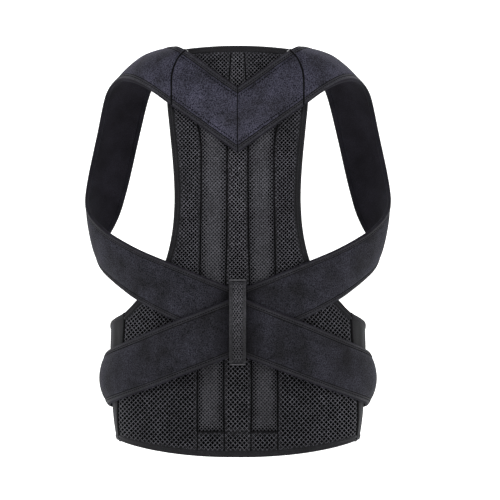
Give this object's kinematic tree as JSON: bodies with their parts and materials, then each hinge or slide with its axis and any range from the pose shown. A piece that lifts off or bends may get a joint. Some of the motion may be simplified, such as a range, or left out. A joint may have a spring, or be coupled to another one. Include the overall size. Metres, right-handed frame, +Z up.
{
  "type": "back support belt",
  "caption": "Posture belt as worn: mesh back panel, V yoke, shoulder straps that pass under the arms and cross at the lower back under a keeper, waist straps and side wings closing in front.",
  "frame": {"origin": "inner face of the back panel on its centreline, at the height where the straps cross under the keeper loop: where the belt sits on the wearer's back", "axes": "+Z up the wearer's spine, +Y forwards into the wearer's back, +X to the right of a viewer who stands behind the wearer"},
  "size_m": [0.348, 0.2226, 0.4533],
  "materials": {
    "mesh_cloth": "black air mesh, matte",
    "pocket_mesh": "black fine mesh, matte",
    "edge_tape": "black knitted edge tape, soft sheen",
    "brushed_cloth": "black brushed loop cloth with a bluish sheen",
    "elastic_cloth": "black elastic cloth, smooth",
    "keeper_web": "black woven webbing"
  },
  "bodies": {
    "root": {"back_panel": "mesh_cloth", "stay_pocket_left": "pocket_mesh", "stay_pocket_right": "pocket_mesh", "top_edge_tape": "edge_tape", "bottom_edge_tape": "edge_tape", "panel_edge_tape_left": "edge_tape", "panel_edge_tape_right": "edge_tape", "yoke_left": "brushed_cloth", "yoke_arm_tape_left": "edge_tape", "yoke_neck_tape_left": "edge_tape", "shoulder_strap_left": "brushed_cloth", "shoulder_strap_arm_tape_left": "edge_tape", "shoulder_strap_neck_tape_left": "edge_tape", "waist_strap_left": "brushed_cloth", "waist_strap_upper_tape_left": "edge_tape", "waist_strap_lower_tape_left": "edge_tape", "side_wing_left": "elastic_cloth", "side_wing_upper_tape_left": "edge_tape", "side_wing_lower_tape_left": "edge_tape", "yoke_right": "brushed_cloth", "yoke_arm_tape_right": "edge_tape", "yoke_neck_tape_right": "edge_tape", "shoulder_strap_right": "brushed_cloth", "shoulder_strap_arm_tape_right": "edge_tape", "shoulder_strap_neck_tape_right": "edge_tape", "waist_strap_right": "brushed_cloth", "waist_strap_upper_tape_right": "edge_tape", "waist_strap_lower_tape_right": "edge_tape", "side_wing_right": "elastic_cloth", "side_wing_upper_tape_right": "edge_tape", "side_wing_lower_tape_right": "edge_tape", "keeper_loop": "keeper_web"}
  },
  "joints": []
}
